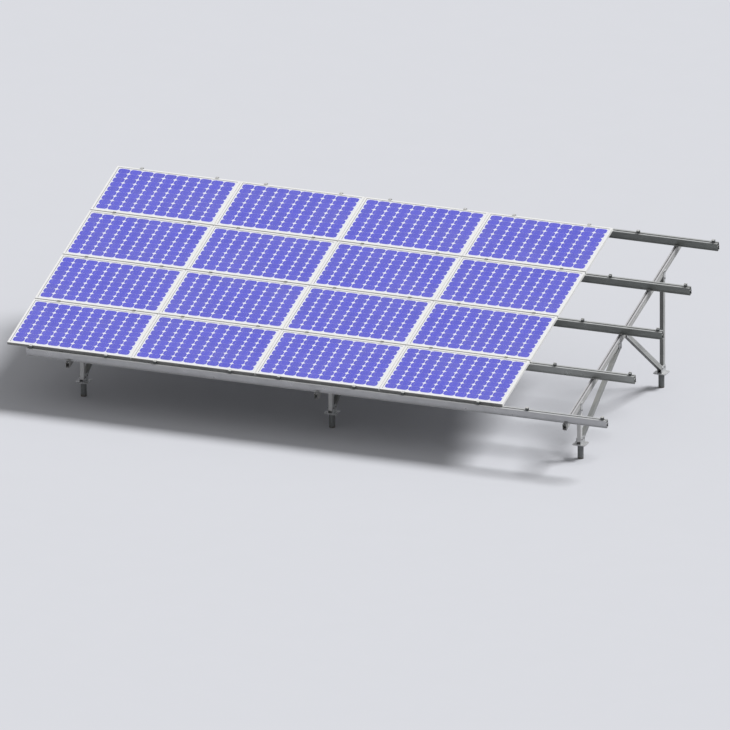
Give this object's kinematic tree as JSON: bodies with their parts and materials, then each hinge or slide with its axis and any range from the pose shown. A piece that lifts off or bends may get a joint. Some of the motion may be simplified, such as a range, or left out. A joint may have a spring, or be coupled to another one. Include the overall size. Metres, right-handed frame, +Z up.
{
  "type": "solar panel bracket",
  "caption": "Ground-mounted solar panel bracket: sloping rails on braced frames and ground screws, carrying framed modules in landscape, with an empty end bay.",
  "frame": {"origin": "middle of the footprint box on the ground plane, where the ground screws meet the ground", "axes": "+X along the rails, +Y from the low edge to the high edge, +Z up"},
  "size_m": [7.98, 4.066, 1.8404],
  "materials": {
    "module_frame": "clear anodised",
    "laminate": "glass over violet-blue cells on a white backsheet",
    "junction_box": "black moulded plastic",
    "rail": "mill finish extrusion",
    "clamp": "mill finish extrusion, sawn ends",
    "beam": "mill finish extrusion",
    "tube": "mill finish rectangular tube",
    "ground_screw": "hot-dip galvanised, weathered dark",
    "bracket": "hot-dip galvanised plate"
  },
  "bodies": {
    "root": {"beam_brackets_left": "bracket", "beam_brackets_middle": "bracket", "beam_brackets_right": "bracket", "beam_left": "beam", "beam_middle": "beam", "beam_right": "beam", "foot_brackets_left": "bracket", "foot_brackets_middle": "bracket", "foot_brackets_right": "bracket", "front_brace_left": "tube", "front_brace_middle": "tube", "front_brace_right": "tube", "front_leg_left": "tube", "front_leg_middle": "tube", "front_leg_right": "tube", "ground_screw_front_left": "ground_screw", "ground_screw_front_middle": "ground_screw", "ground_screw_front_right": "ground_screw", "ground_screw_rear_left": "ground_screw", "ground_screw_rear_middle": "ground_screw", "ground_screw_rear_right": "ground_screw", "high_end_clamps": "clamp", "junction_boxes": "junction_box", "low_end_clamps": "clamp", "mid_clamps": "clamp", "module_frames_row_1": "module_frame", "module_frames_row_2": "module_frame", "module_frames_row_3": "module_frame", "module_frames_row_4": "module_frame", "module_laminates_row_1": "laminate", "module_laminates_row_2": "laminate", "module_laminates_row_3": "laminate", "module_laminates_row_4": "laminate", "rail_1": "rail", "rail_2": "rail", "rail_3": "rail", "rail_4": "rail", "rail_5": "rail", "rail_cleats": "clamp", "rear_brace_left": "tube", "rear_brace_middle": "tube", "rear_brace_right": "tube", "rear_leg_left": "tube", "rear_leg_middle": "tube", "rear_leg_right": "tube"}
  },
  "joints": []
}
